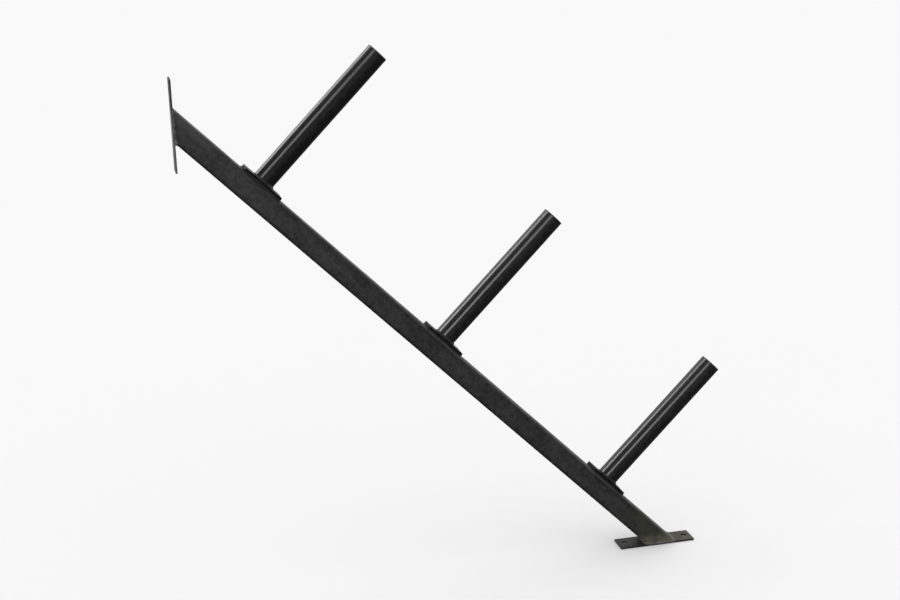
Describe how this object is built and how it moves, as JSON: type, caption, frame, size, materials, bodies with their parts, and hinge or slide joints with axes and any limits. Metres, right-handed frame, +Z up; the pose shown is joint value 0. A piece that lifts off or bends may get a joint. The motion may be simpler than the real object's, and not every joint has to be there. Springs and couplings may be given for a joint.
{
  "type": "weight plate storage brace",
  "caption": "Sloping square-tube brace between a wall plate and a foot plate, with round storage pegs square to it for weight plates.",
  "frame": {"origin": "centre of the foot plate's underside, on the floor", "axes": "+Z up, +X away from the wall towards the foot, Y along the wall; the object is symmetric about Y = 0"},
  "size_m": [1.2174, 0.054, 1.2163],
  "materials": {
    "powder_coat": "satin black powder coat",
    "peg_enamel": "gloss black enamel",
    "weld_metal": "weld beads painted over in black",
    "cap_plastic": "moulded black plastic"
  },
  "bodies": {
    "root": {"diagonal_beam": "powder_coat", "wall_plate": "powder_coat", "foot_plate": "powder_coat", "wall_plate_weld": "weld_metal", "foot_plate_weld": "weld_metal", "peg_flange_upper": "peg_enamel", "peg_tube_upper": "peg_enamel", "peg_end_cap_upper": "cap_plastic", "peg_weld_upper": "weld_metal", "flange_weld_upper": "weld_metal", "peg_flange_middle": "peg_enamel", "peg_tube_middle": "peg_enamel", "peg_end_cap_middle": "cap_plastic", "peg_weld_middle": "weld_metal", "flange_weld_middle": "weld_metal", "peg_flange_lower": "peg_enamel", "peg_tube_lower": "peg_enamel", "peg_end_cap_lower": "cap_plastic", "peg_weld_lower": "weld_metal", "flange_weld_lower": "weld_metal"}
  },
  "joints": []
}
